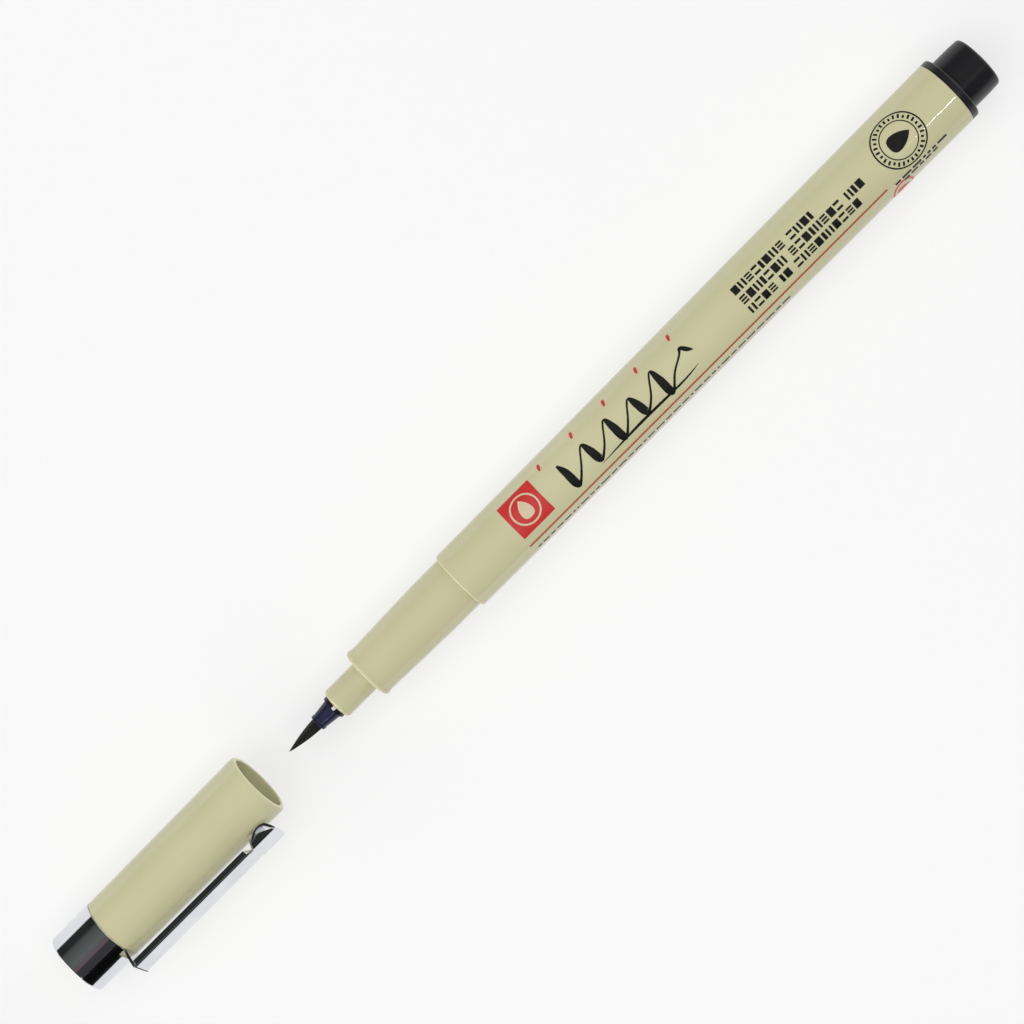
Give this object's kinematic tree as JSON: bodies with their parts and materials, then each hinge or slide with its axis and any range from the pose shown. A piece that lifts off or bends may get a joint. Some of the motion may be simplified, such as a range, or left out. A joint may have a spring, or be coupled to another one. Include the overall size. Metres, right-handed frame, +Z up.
{
  "type": "calligraphy marker",
  "caption": "Brush-type calligraphy marker with tapered printed barrel, pointed brush in a narrow nose, posting tail plug, and a pull-off cap with chrome ferrule and clip.",
  "frame": {"origin": "on the pen's axis at the barrel's front shoulder, where the cap's mouth seats", "axes": "+X along the pen's axis to the tail, +Z up from the surface it lies on, +Y to the left of the writing direction"},
  "size_m": [0.1759, 0.0126, 0.0109],
  "materials": {
    "cream_plastic": "glossy moulded plastic, printed on the barrel",
    "black_plastic": "satin-gloss moulded plastic",
    "navy_plastic": "translucent glossy moulded plastic",
    "white_plastic": "natural moulded plastic",
    "chrome": "bright plated sheet",
    "bristle": "ink-soaked fine synthetic bristle",
    "fibre": "ink-soaked fibre",
    "clear_film": "thin wrapped film"
  },
  "bodies": {
    "pen": {"barrel": "cream_plastic", "grip_section": "cream_plastic", "brush_holder": "navy_plastic", "vent_ring": "black_plastic", "brush_root": "bristle", "feed_rod": "fibre", "ink_core": "fibre", "core_film": "clear_film", "tail_plug": "black_plastic"},
    "brush": {"brush_tip": "bristle"},
    "cap": {"cap_tube": "cream_plastic", "inner_cap": "white_plastic", "cap_ferrule": "chrome", "end_plug": "cream_plastic", "clip_anchor": "chrome"},
    "clip": {"clip_arm": "chrome"}
  },
  "joints": [
    {"name": "cap_slide", "type": "slide", "parent": "pen", "child": "cap", "axis": [1, 0, 0], "range_m": [0, 0.03938]},
    {"name": "clip_flex", "type": "hinge", "parent": "cap", "child": "clip", "pos_m": [-0.06872, -0.00617, 0.00416], "axis": [0, -0.5592, -0.829], "range_deg": [0, 6], "stiffness_Nm_per_rad": 1.5},
    {"name": "brush_flex", "type": "hinge", "parent": "pen", "child": "brush", "pos_m": [-0.02776, 0, 0], "axis": [0, 0, 1], "range_deg": [-25, 25], "stiffness_Nm_per_rad": 0.0025}
  ]
}
